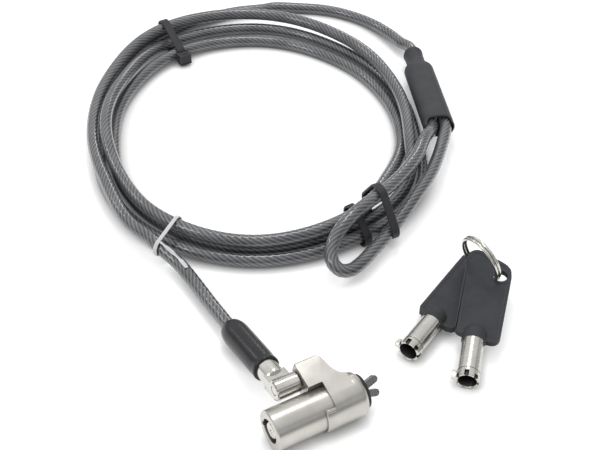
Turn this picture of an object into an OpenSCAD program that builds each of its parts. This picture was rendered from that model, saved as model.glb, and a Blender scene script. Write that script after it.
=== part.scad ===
/* [Cable] */
// Diameter of the jacketed wire rope
cable_d = 4.8; // [4.2:0.1:4.9]
// Height of the cable centre where it lies on the table, above the table
cable_rest = 1.92; // [1.8:0.02:2.2]
// Height that one layer of the coil adds
layer_rise = 5.35; // [5.25:0.05:5.6]

/* [Lock head] */
// Wall of the swivel collar round the barrel
collar_wall = 0.74; // [0.6:0.02:1]
// Length of the collar's skirt behind its front face
skirt_len = 14.6; // [13.8:0.1:15.4]
// Thickness of the collar's front wall
front_wall = 2.2; // [1.8:0.1:2.3]
// Diameter of the lock barrel
barrel_d = 12.8; // [12.6:0.05:12.9]
// Distance from the laptop face to the key face
key_face = 31.9; // [31.6:0.1:34]
// Diameter of the rubber washer
washer_d = 11.2; // [10.6:0.1:12.6]
// Thickness of the rubber washer
washer_t = 1.3; // [1:0.1:1.6]
// Running clearance between turning pieces, on the radius
run_gap = 0.06; // [0.04:0.01:0.08]

/* [Lug and hinge] */
// Tilt of the lug's flat top about the lock axis
lug_tilt = 14.5; // [8:0.5:20]
// Hinge pin centre, measured along the lug's flat top from the lock axis
pin_across = 10.2; // [10:0.1:11]
// Hinge pin centre, measured square to the lug's flat top from the lock axis
pin_up = 2.4; // [2.2:0.1:3]
// Diameter of the hinge pin
pin_d = 3; // [2.6:0.1:3.4]
// Diameter of the knuckle
knuckle_d = 6.5; // [6:0.1:6.7]
// Length of the knuckle along the hinge pin
knuckle_len = 8.1; // [7.8:0.1:8.4]

/* [Cable ferrule] */
// Diameter of the ferrule's shank
shank_d = 7.3; // [6.4:0.1:7.4]
// Slope of the ferrule and boot down to the table
boot_slope = 9; // [8:0.5:10]
// Diameter of the rubber boot
boot_d = 9; // [8.6:0.1:10]
// Length of the rubber boot
boot_len = 25; // [24:0.5:26]

/* [Hooks] */
// Angle of each locking hook to the lock axis when locked
hook_angle = 16; // [12:0.5:17]
// Length of each hook from its pivot to the centre of its round tip
hook_len = 8.5; // [8:0.1:9]
// Width of each hook
hook_w = 2.4; // [2.2:0.05:2.6]
// Thickness of each hook
hook_t = 1.25; // [1:0.05:1.3]
// Turn of the hooks' plane about the lock axis
hook_plane = 57; // [40:1:70]
// Travel of the draw rod between locked and open
rod_travel = 3; // [2.8:0.05:3.1]

/* [Tubular lock] */
// Number of tumbler pins
pin_count = 7; // [5:1:8]
// Radius of the circle of tumbler pins
pin_circle = 3.3; // [3.1:0.05:3.4]
// Diameter of each tumbler pin
tumbler_d = 1; // [0.8:0.05:1.05]
// Diameter of the centre post
post_d = 5.4; // [5:0.1:5.5]
// Outer diameter of the ring slot that takes the key
slot_d = 7.9; // [7.8:0.05:8.2]

/* [Keys] */
// Outer diameter of the key tube
key_tube_d = 7.3; // [6.6:0.1:7.4]
// Wall of the key tube
key_wall = 0.7; // [0.6:0.05:0.8]
// Length of the key tube outside the bow
key_tube_len = 15.4; // [14:0.1:16]
// Thickness of the bow
bow_t = 2.2; // [1.8:0.1:2.2]
// Depth of the panel that is sunk inside the bow's rim
bow_panel = 0.2; // [0.1:0.05:0.3]
// Outer diameter of the split ring
ring_d = 17.9; // [17.6:0.1:18.2]
// Wire diameter of the split ring
ring_wire = 1.1; // [1:0.05:1.2]

/* [Eye end] */
// Width of the crimp sleeve
sleeve_w = 12; // [11.8:0.1:13]
// Thickness of the crimp sleeve
sleeve_t = 8; // [7.4:0.1:8.4]
// Length of the crimp sleeve's flat body
sleeve_len = 44; // [40:0.5:46]

/* [Hidden] */

round_fn = 48;
fine_fn = 32;
eps = 0.01;

// The lock axis lies along X, and the laptop face is at x = 0.
barrel_r = barrel_d / 2;
skirt_r = barrel_r + run_gap;
collar_r = skirt_r + collar_wall;
table_z = -collar_r;
collar_front = -washer_t;
skirt_end = collar_front - skirt_len;
wall_back = collar_front - front_wall;
front_round = 0.7;

// Carrier, a stepped bush that holds the hooks and turns in the collar
nose_r = 3.4;
nose_bore_r = nose_r + run_gap;
nose_front = -0.2;
flange_r = skirt_r - 0.16;
flange_front = wall_back - 0.1;
flange_t = 1.5;
flange_back = flange_front - flange_t;
clip_t = 0.6;
clip_front = flange_back - 0.15;
clip_groove_r = collar_r - 0.38;
core_r = barrel_r - 1;
clip_inner_r = core_r + 0.08;
barrel_front = clip_front - clip_t - 0.2;
spring_seat = flange_back - 1.2;

// Hooks
pivot_x = nose_front - 3.8;
pivot_r = 0.75;
pivot_head_r = 1.9;
drive_x = pivot_x - 2.8;
drive_r = 0.6;
drive_slot_r = drive_r + 0.06;
tail_rim = 0.52;
hook_space = 0.03;
slot_half_w = 2.75;
slot_half_t = hook_t + 0.12;

// Draw rod, cam sleeve and tumblers, from the hooks to the key face
fork_inner = slot_half_t + 0.06;
fork_t = 0.85;
fork_w = 2.4;
fork_front = drive_x + 0.9;
rod_flange_front = -11.4;
rod_flange_t = 1;
rod_bore_r = 4.5;
rod_flange_r = rod_bore_r - run_gap;
rod_r = 2.1;
cam_front = rod_flange_front - rod_flange_t - rod_travel - 0.2;
sleeve_back = cam_front + 0.1;
cam_pin_x = cam_front - 1.2;
cam_pin_r = 0.6;
rod_end = cam_pin_x - 0.9;
cam_wall_x = rod_end - rod_travel - 0.2;
cam_r = 4.4;
cam_bore_r = 3.3;
cam_wall_t = 0.9;
cam_back = cam_wall_x - cam_wall_t;
turn = 90;
stator_front = cam_back - 0.1;
rotor_back = -key_face + 3.4;
rotor_len = 3.5;
rotor_front = rotor_back + rotor_len;
stator_back = rotor_front + 0.1;
spindle_r = 1.5;
post_end = -key_face + 0.35;
tumbler_r = tumbler_d / 2;
tumbler_hole_r = tumbler_r + 0.08;
driver_len = 1.2;
tumbler_depth = 2.6;
keyway_w = 1.4;
keyway_r = 4.7;
keyway_angle = -8;

// Lug
lug_top = collar_r;
lug_reach = pin_across + 3.7;
lug_back = skirt_end - 1.25;
lug_front = -4.4;
lug_notch_x = -12.5;
lug_notch_side = 4.9;
lug_notch_ledge = -3.76;
knuckle_front = lug_back - 0.3;
knuckle_back = knuckle_front - knuckle_len;
pin_hole_r = pin_d / 2 + 0.04;
pin_depth = 6;

// Hinge pin centre in the lock's own frame
pin_y = pin_across * cos(lug_tilt) - pin_up * sin(lug_tilt);
pin_z = pin_across * sin(lug_tilt) + pin_up * cos(lug_tilt);

// Ferrule: the shank leaves the knuckle along +Y and slopes down
shank_x = knuckle_back + shank_d / 2 + 0.1;
shank_drop = 1.15;
boot_start = 11.2;
boot_end = boot_start + boot_len;
shank_end = boot_start + 12;
crimp_depth = 9;
function along_boot(s) = [shank_x, pin_y + s * cos(boot_slope),
    pin_z - shank_drop - s * sin(boot_slope)];

// Coil: turns from the lead's arrival, one station every 30 degrees going clockwise
coil_x = 34.5;
coil_y = 131.8;
coil_start = 210.4;
stations = 12;
// Each station is [radius, layer], where layer 0 lies on the table
coil_turns = [
    [71.6, 1.02], [62.8, 1.1], [63.1, 1.02], [70.3, 1.12], [82.4, 1.24], [83.5, 1.05],
    [73.2, 1], [62.2, 1], [57.9, 1.04], [62.4, 0.25], [62, 0.2], [62.9, 0.15],
    [60.1, 0.22], [56, 0.05], [55.5, 0.05], [61.8, 0.1], [69.6, 0.25], [70.6, 0.05],
    [64.3, 0], [58.3, 0], [55.2, 0], [55, 0.6], [63, 1.32], [64.7, 1.12],
    [62, 1.22], [56.8, 1.06], [58, 1.55], [63.9, 1.2], [78.1, 0.25], [80.4, 0.05],
    [71.7, 0], [64.2, 0], [61.5, 0], [68.1, 0.25], [67.8, 0.2], [68.8, 0.15],
    [66.6, 0.22], [62.3, 0.05], [61.4, 0], [70.1, 0.08], [84.4, 0.25], [96.9, 0.06]];
rings_per_station = 2;
coil_steps = (len(coil_turns) - 1) * rings_per_station;

// Lead from the boot to the coil: [x, y, height above the table]
lead_route = [[-21.9, 53, 4.6], [-22, 60, 4.2], [-22.1, 67, 4.1], [-22.4, 74, 4.3],
    [-23.2, 81, 5], [-24.5, 87, 6]];

// Tail from the coil to the crimp sleeve
tail_route = [[89.5, 213.6, 2], [98, 208.3, 2], [104.2, 203.6, 2], [110.4, 196.8, 2],
    [115.4, 188, 2.1], [118, 178.8, 2.7], [118.9, 168.6, 3.5], [118.5, 160, 4.5]];

// Eye: both legs and the loop between them
eye_route = [[83.7, 91.2, 11.4], [73.4, 81.7, 13.2], [62.6, 74.6, 14.2], [52, 69.4, 14.9],
    [42.5, 66.3, 15], [34, 63.4, 14.2], [27.2, 60.3, 12.4], [22.9, 57, 10.1],
    [20.9, 52.8, 7.9], [22.1, 49.6, 6.4], [25.7, 48.7, 5.6], [31, 50.4, 5.3],
    [37.2, 53.4, 5.3], [44.3, 56.9, 5.5], [53.2, 61.7, 6.3], [64.3, 68, 8],
    [77, 76.4, 8.5], [90, 88.6, 7.9]];

// Other strands held by the ties: [distance from the coil's centre, height above the table]
wire_tie_lead = [74.1, 7.3];
eye_legs = [[65.1, 15], [73.4, 6.7]];

// Crimp sleeve: its mouth, and the way its axis runs
mouth = [95.1, 97.6, 8.1];
neck = [116.6, 148.4, 6];
sleeve_dir = (neck - mouth) / norm(neck - mouth);
sleeve_turn = atan2(sleeve_dir[1], sleeve_dir[0]);
sleeve_rise = asin(sleeve_dir[2]);
strand_gap = cable_d / 2 + 0.2;
sleeve_wall = 0.6;
ferrule_start = 6;
ferrule_len = 26;
neck_d = 7.6;
neck_len = norm(neck - mouth) - sleeve_len;

// Keys: [x, y] of the tube's open end, the way the key points, its tilt
key_a_end = [31.7, -10.3];
key_a_height = 3.8;
key_a_turn = 47.7;
key_a_tilt = 6.8;
key_b_end = [22.4, 8.75];
key_b_height = 4.5;
key_b_turn = 27.2;
key_b_tilt = -1.5;
// Outline of the bow, [distance from its front, distance to the side]
bow_points = [[4, -6.5], [2.7, -5.9], [2.2, -4.6], [0.2, 5.2], [0.6, 7], [2.2, 8.1], [28, 9],
    [31.2, 8.6], [33.1, 7.1], [34.4, 4.8], [35.5, 2.3], [37.6, -1.2], [38.1, -3.8],
    [36.6, -5.9], [33.9, -6.5]];
bow_start = key_tube_len;
tube_floor = key_tube_len - 3.4;
bow_rim = 1.1;
dome_r = 3.95;
dome_len = 6.4;
hole_along = bow_start + 28.1;
hole_across = 5.3;
hole_r = 2.4;
ring_centre = [61.65, 25.14, 13.1];
ring_turn = 7.6;
ring_lean = 13;

// ---- curves and tubes ----

// A unit vector
function unit(v) = v / norm(v);

// Point on a smooth curve through p, at u counted in points from the first
function curve_at(p, u) = let(
    n = len(p) - 1, i = min(floor(u), n - 1), f = u - i,
    a = p[max(i - 1, 0)], b = p[i], c = p[i + 1], d = p[min(i + 2, n)])
    (2 * b + (c - a) * f + (2 * a - 5 * b + 4 * c - d) * f * f
        + (3 * b - a - 3 * c + d) * f * f * f) / 2;

// Every point of a smooth curve through p, with per points to each span
function smooth(p, per) = [for (i = [0:(len(p) - 1) * per]) curve_at(p, i / per)];

// Route points given with their height above the table
function on_table(p) = [for (q = p) [q[0], q[1], q[2] + table_z]];

// The route's direction at ring i
function heading(p, i) = unit(p[min(i + 1, len(p) - 1)] - p[max(i - 1, 0)]);

// Ring of a tube's outline, square to the route and no lower than the table
function tube_ring(p, i, d, sides) = let(
    t = heading(p, i), side = unit(cross([0, 0, 1], t)), top = cross(t, side))
    [for (k = [0:sides - 1]) let(a = 360 * k / sides,
        q = p[i] + d / 2 * (cos(a) * side + sin(a) * top))
        [q[0], q[1], max(q[2], table_z)]];

// A closed tube along route p
module tube(p, d, sides) {
    n = len(p);
    rings = [for (i = [0:n - 1]) each tube_ring(p, i, d, sides)];
    walls = [for (i = [0:n - 2], k = [0:sides - 1]) let(
        a = i * sides + k, b = i * sides + (k + 1) % sides)
        each [[a, a + sides, b], [b, a + sides, b + sides]]];
    caps = [for (k = [1:sides - 2]) each [[0, k, k + 1],
        [(n - 1) * sides, (n - 1) * sides + k + 1, (n - 1) * sides + k]]];
    polyhedron(points = rings, faces = concat(walls, caps), convexity = 10);
}

// Height of a strand's centre above the table on a given layer
function strand_height(layer) = cable_rest + max(layer, 0) * layer_rise;

// Point of the coil at station u
function coil_point(u) = let(
    s = curve_at(coil_turns, u), a = coil_start - u * 360 / stations)
    [coil_x + s[0] * cos(a), coil_y + s[0] * sin(a),
        table_z + strand_height(s[1])];

coil_core = [for (i = [0:coil_steps]) coil_point(i / rings_per_station)];
coil_first = coil_core[0];
coil_last = coil_core[coil_steps];
coil_in = unit(coil_core[1] - coil_first);
coil_out = unit(coil_last - coil_core[coil_steps - 1]);
// The ends run straight for one cable diameter
coil_path = concat([coil_first - coil_in * cable_d], coil_core,
    [coil_last + coil_out * cable_d]);

boot_mouth = along_boot(boot_end);
boot_dir = unit(along_boot(1) - along_boot(0));
lead_path = concat([along_boot(shank_end - crimp_depth), along_boot(shank_end), along_boot(boot_end - 5),
    boot_mouth],
    on_table(lead_route),
    [coil_path[0] - coil_in * cable_d, coil_path[0]]);

strand_side = unit(cross([0, 0, 1], sleeve_dir));
function in_sleeve(s, side) = mouth + [0, 0, table_z] + sleeve_dir * s
    + strand_side * side * strand_gap;
tail_join = in_sleeve(ferrule_start + ferrule_len, 1);
tail_path = concat([coil_path[len(coil_path) - 1],
        coil_path[len(coil_path) - 1] + coil_out * cable_d], on_table(tail_route),
    [in_sleeve(sleeve_len + neck_len + 5, 0), in_sleeve(sleeve_len + neck_len, 0),
        in_sleeve(sleeve_len, 0), in_sleeve(sleeve_len - 5, 0.5),
        tail_join + sleeve_dir * cable_d, tail_join]);
eye_path = concat([tail_join, in_sleeve(ferrule_start, 1), in_sleeve(1, 1)],
    smooth(on_table(eye_route), 2),
    [in_sleeve(1, -1), in_sleeve(ferrule_start, -1), in_sleeve(ferrule_start + ferrule_len, -1)]);

// Least distance between parts of a route that are at least skip points apart
function least_gap(p, skip) = min([for (i = [0:len(p) - 1 - skip], j = [i + skip:len(p) - 1])
    norm(p[i] - p[j])]);
function route_len(p, i = 1) = i >= len(p) ? 0 : norm(p[i] - p[i - 1]) + route_len(p, i + 1);

echo("coil: least gap to itself", least_gap(coil_core, 8) - cable_d);
echo("lengths: lead, coil, tail, eye", route_len(lead_path), route_len(coil_path),
    route_len(tail_path), route_len(eye_path));

// ---- helpers for turned pieces ----

// A turned piece on the lock axis from points [radius, x]
module turned(profile, fn = round_fn) {
    rotate([0, 90, 0]) rotate_extrude($fn = fn) polygon(profile);
}

// A rod along X from x0 back to x1
module rod_x(r, x0, x1, fn = fine_fn) {
    translate([min(x0, x1), 0, 0]) rotate([0, 90, 0]) cylinder(r = r, h = abs(x0 - x1), $fn = fn);
}

// A block between two corners
module block(a, b) {
    translate(a) cube(b - a);
}

// Points of an arc
function arc(c, r, from, to, n) = [for (i = [0:n]) let(a = from + (to - from) * i / n)
    c + r * [cos(a), sin(a)]];

// Points of a cubic curve
function bezier(p, n) = [for (i = [0:n]) let(t = i / n, s = 1 - t)
    s * s * s * p[0] + 3 * s * s * t * p[1] + 3 * s * t * t * p[2] + t * t * t * p[3]];

module in_hook_plane() {
    rotate([hook_plane, 0, 0]) children();
}

// ---- collar and what stays with it ----

// Cross-section of the lug, in the frame of its flat top
module lug_section() {
    corner = 0.8;
    below = 3.67;
    polygon(concat([[0, 0], [0, lug_top]],
        arc([lug_reach - corner, lug_top - corner], corner, 90, 0, 5),
        arc([pin_across, pin_up], below, 0, -118, 12),
        [[collar_r - front_round, -collar_r * 0.42]]));
}

// Outline of the lug seen square to its flat top, with the sweep into the skirt
module lug_outline() {
    shoulder = [lug_front - 3.2, 7.9];
    polygon(concat([[lug_back, -1], [lug_back, lug_reach + 1], [lug_back + 6.5, lug_reach + 1]],
        bezier([[lug_back + 6.5, lug_reach - 0.05], [lug_front - 3.9, lug_reach - 0.1],
            [lug_front - 4.3, 10.6], shoulder], 10),
        bezier([shoulder, [lug_front - 2.2, 5.6], [lug_front - 1.4, 5.2],
            [lug_front, 4.6]], 8),
        [[lug_front, -1]]));
}

module lug() {
    rotate([lug_tilt, 0, 0]) intersection() {
        translate([lug_back, 0, 0]) rotate([90, 0, 90])
            linear_extrude(lug_front - lug_back) lug_section();
        translate([0, 0, -collar_r * 2]) linear_extrude(collar_r * 4) lug_outline();
    }
}

module collar() {
    color("silver") difference() {
        union() {
            turned([[0, collar_front], [collar_r - 1.3, collar_front],
                [collar_r - front_round, collar_front - 0.25],
                [collar_r - 0.18, collar_front - 0.9], [collar_r, collar_front - 1.7],
                [collar_r, skirt_end + 0.2], [collar_r - 0.2, skirt_end], [0, skirt_end]]);
            lug();
        }
        rod_x(skirt_r, wall_back, lug_back - 1, round_fn);
        rod_x(nose_bore_r, collar_front + 1, wall_back - 1);
        rod_x(clip_groove_r, clip_front + 0.05, clip_front - clip_t - 0.05, round_fn);
        rotate([lug_tilt, 0, 0])
            block([lug_back - 1, lug_notch_ledge, 2], [lug_notch_x, lug_notch_side, collar_r + 2]);
        translate([0, pin_y, pin_z]) rod_x(pin_d / 2, lug_back + pin_depth, lug_back - 1);
    }
}

module pivot_pin() {
    edge = 0.25;
    r = pin_d / 2;
    head_x = knuckle_back + 0.15;
    color("gainsboro") translate([0, pin_y, pin_z])
        turned([[0, lug_back + pin_depth], [r, lug_back + pin_depth], [r, head_x + edge],
            [r - edge, head_x], [0, head_x]], fine_fn);
}

module rubber_washer() {
    r = washer_d / 2;
    inner = nose_bore_r + 0.1;
    color("#3a3a3c") turned([[inner, 0], [r - 0.45, 0], [r - 0.13, -0.15], [r, -0.5],
        [r, collar_front], [inner, collar_front]]);
}

module circlip() {
    gap = 2.4;
    color("dimgray") difference() {
        turned([[clip_inner_r, clip_front], [clip_groove_r, clip_front],
            [clip_groove_r, clip_front - clip_t], [clip_inner_r, clip_front - clip_t]]);
        block([clip_front - 1, -gap / 2, -collar_r], [clip_front + 1, gap / 2, 0]);
    }
}

// ---- hook carrier, barrel and what they hold ----

module hook_carrier() {
    in_hook_plane() color("gray") difference() {
        turned([[0, nose_front], [nose_r - 0.15, nose_front], [nose_r, nose_front - 0.15],
            [nose_r, flange_front], [flange_r, flange_front], [flange_r, flange_back],
            [core_r, flange_back], [core_r, sleeve_back], [0, sleeve_back]]);
        block([spring_seat - 1, -slot_half_w, -slot_half_t],
            [nose_front + 1, slot_half_w, slot_half_t]);
        rod_x(nose_r, flange_back + 0.1, sleeve_back - 1);
        rod_x(rod_bore_r, spring_seat, sleeve_back - 1, round_fn);
        translate([pivot_x, 0, -flange_r]) cylinder(r = pivot_r, h = 2 * flange_r, $fn = fine_fn);
        at_barrel_pins() cylinder(r = 0.5, h = barrel_r, $fn = fine_fn);
    }
}

// Places its children square to the lock axis, where the pins join carrier and barrel
module at_barrel_pins() {
    for (a = [90, 270])
        translate([barrel_front - 1.7, 0, 0]) rotate([a, 0, 0]) translate([0, 0, 4.6]) children();
}

module barrel() {
    edge = 0.35;
    in_hook_plane() color("lightgray") difference() {
        turned([[core_r, barrel_front], [barrel_r - edge, barrel_front],
            [barrel_r, barrel_front - edge], [barrel_r, -key_face + edge],
            [barrel_r - edge, -key_face], [slot_d / 2, -key_face],
            [slot_d / 2, rotor_back - 0.1], [core_r, rotor_back - 0.1]]);
        rotate([keyway_angle - hook_plane, 0, 0])
            block([-key_face - 1, 0, -keyway_w / 2], [rotor_back - 0.1, keyway_r, keyway_w / 2]);
        at_barrel_pins() cylinder(r = 0.5, h = barrel_r, $fn = fine_fn);
    }
}

module barrel_pins() {
    in_hook_plane() color("dimgray")
        at_barrel_pins() cylinder(r = 0.5, h = barrel_r - 4.6 - 0.1, $fn = fine_fn);
}

module hook_pin() {
    in_hook_plane() color("dimgray") translate([pivot_x, 0, 0])
        cylinder(r = pivot_r, h = 2 * nose_r - 0.5, center = true, $fn = fine_fn);
}

// Points of a spring on the lock axis from x0 back to x1
function spring_path(r, turns, x0, x1, wire) = let(
    n = turns * 10, a = x0 - wire / 2 - 0.05, b = x1 + wire / 2 + 0.05)
    [for (i = [0:n]) [a + (b - a) * i / n, r * cos(36 * i), r * sin(36 * i)]];

// A round wire along a path that winds about an axis along X
module wire_tube(p, d, sides) {
    n = len(p);
    rings = [for (i = [0:n - 1]) let(
        t = heading(p, i), side = unit(cross([1, 0, 0], t)), top = cross(t, side))
        each [for (k = [0:sides - 1])
            p[i] + d / 2 * (cos(360 * k / sides) * side + sin(360 * k / sides) * top)]];
    walls = [for (i = [0:n - 2], k = [0:sides - 1]) let(
        a = i * sides + k, b = i * sides + (k + 1) % sides)
        each [[a, a + sides, b], [b, a + sides, b + sides]]];
    caps = [for (k = [1:sides - 2]) each [[0, k, k + 1],
        [(n - 1) * sides, (n - 1) * sides + k + 1, (n - 1) * sides + k]]];
    polyhedron(points = rings, faces = concat(walls, caps), convexity = 10);
}

module return_spring() {
    color("slategray") in_hook_plane()
        wire_tube(spring_path(3.85, 4, spring_seat, rod_flange_front, 0.6), 0.6, 6);
}

// Places its children on the circle of tumbler pins
module each_tumbler() {
    for (i = [0:pin_count - 1])
        rotate([360 * i / pin_count, 0, 0]) translate([0, 0, pin_circle]) children();
}

module stator() {
    in_hook_plane() color("darkkhaki") difference() {
        turned([[spindle_r + run_gap, stator_front], [core_r - 0.03, stator_front],
            [core_r - 0.03, stator_back], [spindle_r + run_gap, stator_back]]);
        each_tumbler() rod_x(tumbler_hole_r, stator_back - 1, stator_back + tumbler_depth);
    }
}

module driver_pins() {
    in_hook_plane() color("gold") each_tumbler()
        rod_x(tumbler_r, stator_back + 0.02, stator_back + driver_len, 16);
}

module pin_springs() {
    wire = 0.2;
    in_hook_plane() color("slategray") each_tumbler() wire_tube(
        spring_path(tumbler_r - wire / 2, 3, stator_back + tumbler_depth,
            stator_back + driver_len, wire), wire, 3);
}

// ---- hooks ----

// Centre of the drive slot in a hook's own frame, with the rod moved by s
function slot_point(s) = let(a = hook_angle * (1 - s / rod_travel), d = pivot_x - drive_x + s)
    [-d * cos(a), d * sin(a)];

// Points of a strip that follows the drive slot, r to each side, with round ends
function slot_strip(r) = let(
    steps = 6, p = [for (i = [0:steps]) slot_point(rod_travel * i / steps)],
    t = [for (i = [0:steps]) unit(p[min(i + 1, steps)] - p[max(i - 1, 0)])],
    a0 = atan2(t[0][1], t[0][0]), a1 = atan2(t[steps][1], t[steps][0]))
    concat([for (i = [0:steps]) p[i] + r * [t[i][1], -t[i][0]]],
        arc(p[steps], r, a1 - 75, a1 + 75, 5),
        [for (i = [steps:-1:0]) p[i] - r * [t[i][1], -t[i][0]]],
        arc(p[0], r, a0 + 105, a0 + 255, 5));

// Outline of a hook: round tip, arm, pivot head and slotted tail
module hook_outline() {
    start = slot_point(0);
    half = drive_slot_r + tail_rim;
    difference() {
        union() {
            polygon(concat([[0, -hook_w / 2]], arc([hook_len, 0], hook_w / 2, -90, 90, 12),
                [[0, hook_w / 2]]));
            circle(r = pivot_head_r, $fn = fine_fn);
            polygon(slot_strip(half));
            polygon([[0, pivot_head_r - 0.05], [start[0], start[1] + half - 0.05],
                [start[0] - 0.8, start[1]], [start[0], start[1] - 0.2],
                [0, -pivot_head_r + 0.05]]);
        }
        circle(r = pivot_r + run_gap, $fn = fine_fn);
        polygon(slot_strip(drive_slot_r));
    }
}

module hook(up) {
    in_hook_plane() color("#5a5a5e") translate([pivot_x, 0, up > 0 ? hook_space : -hook_t - hook_space])
        rotate([0, 0, up * hook_angle]) linear_extrude(hook_t)
            mirror([0, up > 0 ? 0 : 1]) hook_outline();
}

module hook_upper() {
    hook(1);
}

module hook_lower() {
    hook(-1);
}

// ---- draw rod ----

module draw_rod() {
    in_hook_plane() color("darkgray") difference() {
        union() {
            for (s = [-1, 1]) block(
                [rod_flange_front - eps, -fork_w / 2, min(s * fork_inner, s * (fork_inner + fork_t))],
                [fork_front, fork_w / 2, max(s * fork_inner, s * (fork_inner + fork_t))]);
            turned([[0, rod_flange_front], [rod_flange_r, rod_flange_front],
                [rod_flange_r, rod_flange_front - rod_flange_t],
                [rod_r, rod_flange_front - rod_flange_t], [rod_r, rod_end + 0.3],
                [rod_r - 0.3, rod_end], [0, rod_end]]);
        }
        translate([drive_x, 0, -fork_w]) cylinder(r = drive_r, h = 2 * fork_w, $fn = fine_fn);
        translate([cam_pin_x, 0, -rod_r]) cylinder(r = cam_pin_r, h = 2 * rod_r, $fn = fine_fn);
    }
}

module drive_pin() {
    in_hook_plane() color("dimgray") translate([drive_x, 0, 0])
        cylinder(r = drive_r, h = 2 * (fork_inner + fork_t), center = true, $fn = fine_fn);
}

module cam_pin() {
    in_hook_plane() color("dimgray") translate([cam_pin_x, 0, 0])
        cylinder(r = cam_pin_r, h = 2 * cam_r - 0.2, center = true, $fn = fine_fn);
}

// ---- key core ----

module cam_sleeve() {
    steps = 18;
    in_hook_plane() color("tan") difference() {
        turned([[0, cam_back], [0, cam_wall_x], [cam_bore_r, cam_wall_x],
            [cam_bore_r, cam_front], [cam_r, cam_front], [cam_r, cam_back]]);
        for (i = [0:steps]) translate([cam_pin_x - rod_travel * i / steps, 0, 0])
            rotate([-turn * i / steps, 0, 0])
                cylinder(r = cam_pin_r + run_gap, h = 3 * cam_r, center = true, $fn = fine_fn);
        rod_x(spindle_r - 0.2, cam_back - 1, cam_wall_x + 1);
    }
}

module key_core() {
    in_hook_plane() color("lightgray") difference() {
        turned([[0, cam_wall_x], [spindle_r - 0.2, cam_wall_x], [spindle_r - 0.2, cam_back],
            [spindle_r, cam_back], [spindle_r, rotor_front], [core_r - 0.1, rotor_front],
            [core_r - 0.1, rotor_back], [post_d / 2, rotor_back],
            [post_d / 2, post_end + 0.3], [post_d / 2 - 0.3, post_end], [1, post_end],
            [0.6, post_end + 0.5], [0, post_end + 0.5]]);
        each_tumbler() rod_x(tumbler_hole_r, rotor_front + 1, rotor_back - 1);
    }
}

module key_pins() {
    in_hook_plane() color("gold") each_tumbler()
        rod_x(tumbler_r, rotor_front - 0.02, rotor_back - 0.6, 16);
}

// ---- ferrule and boot ----

// Places its children on the ferrule's axis, which they have along X from its start
module along_ferrule() {
    translate([shank_x, pin_y, pin_z - shank_drop]) rotate([-boot_slope, 0, 0])
        rotate([0, 0, 90]) children();
}

module knuckle() {
    r = knuckle_d / 2;
    edge = 0.45;
    neck_len = 6.4;
    flat = 2.5;
    color("silver") difference() {
        union() {
            translate([0, pin_y, pin_z]) turned([[0, knuckle_front],
                [r - 0.2, knuckle_front], [r, knuckle_front - 0.2], [r, knuckle_back + edge],
                [r - edge, knuckle_back], [0, knuckle_back]]);
            along_ferrule() intersection() {
                block([0, -shank_d / 2, -shank_d / 2], [neck_len, shank_d / 2, flat]);
                rod_x(shank_d / 2 + 0.75, 0, neck_len, round_fn);
            }
            along_ferrule() turned([[0, neck_len - 1], [shank_d / 2 - 0.3, neck_len - 1],
                [shank_d / 2, neck_len - 0.2], [shank_d / 2, shank_end - 0.4],
                [shank_d / 2 - 0.4, shank_end], [0, shank_end]]);
        }
        translate([0, pin_y, pin_z]) rod_x(pin_hole_r, knuckle_front + 1, knuckle_back - 1);
        along_ferrule() rod_x(cable_d / 2 + 0.05, shank_end - crimp_depth, shank_end + 1);
    }
}

module boot() {
    r = boot_d / 2;
    inner = shank_d / 2 + 0.02;
    hole = cable_d / 2 + 0.05;
    round_len = 5.6;
    color("#1c1c1e") along_ferrule() turned(concat(
        [[inner, boot_start], [r - 0.5, boot_start], [r - 0.1, boot_start + 0.3],
            [r, boot_start + 0.8]],
        [for (i = [0:8]) let(a = 90 * i / 8)
            [hole + 0.5 + (r - hole - 0.5) * cos(a), boot_end - round_len + round_len * sin(a)]],
        [[hole, boot_end], [hole, shank_end + 0.1], [inner, shank_end + 0.1]]));
}

// ---- cable ----

module cable_lead() {
    color("#6b6e72") tube(lead_path, cable_d, 8);
}

module cable_coil() {
    color("#5e6165") tube(coil_path, cable_d, 6);
}

module cable_tail() {
    color("#6b6e72") tube(tail_path, cable_d, 8);
}

module cable_eye() {
    color("#6b6e72") tube(eye_path, cable_d, 8);
}

// Places its children at the sleeve's mouth, with X along its axis to the neck
module at_mouth() {
    translate(mouth + [0, 0, table_z]) rotate([0, 0, sleeve_turn]) rotate([0, -sleeve_rise, 0])
        children();
}

// A flat oval, w wide along Y and t thick along Z
module flat_oval(w, t) {
    for (s = [-1, 1]) translate([s * (w - t) / 2, 0]) circle(d = t, $fn = round_fn);
    square([w - t, t], center = true);
}

// A flat oval bar along X from x0 to x1
module oval_bar(w, t, x0, x1) {
    translate([x0, 0, 0]) rotate([90, 0, 90]) linear_extrude(x1 - x0) flat_oval(w, t);
}

module crimp_sleeve() {
    bevel = 1.2;
    color("#3c3e41") at_mouth() difference() {
        union() {
            oval_bar(sleeve_w, sleeve_t, 0, sleeve_len - bevel);
            oval_bar(sleeve_w - bevel, sleeve_t - bevel * 0.6, sleeve_len - bevel - eps, sleeve_len);
            rod_x(neck_d / 2, sleeve_len - 1, sleeve_len + neck_len);
        }
        oval_bar(sleeve_w - 2 * sleeve_wall, sleeve_t - 2 * sleeve_wall, -1,
            sleeve_len - bevel - 1);
        rod_x(cable_d / 2 + 0.1, sleeve_len - 4, sleeve_len + neck_len + 1);
        translate([0, 0, sleeve_t / 2 + 1.4]) rotate([90, 0, 0])
            cylinder(r = 3.4, h = 2 * sleeve_w, center = true, $fn = round_fn);
    }
}

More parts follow.
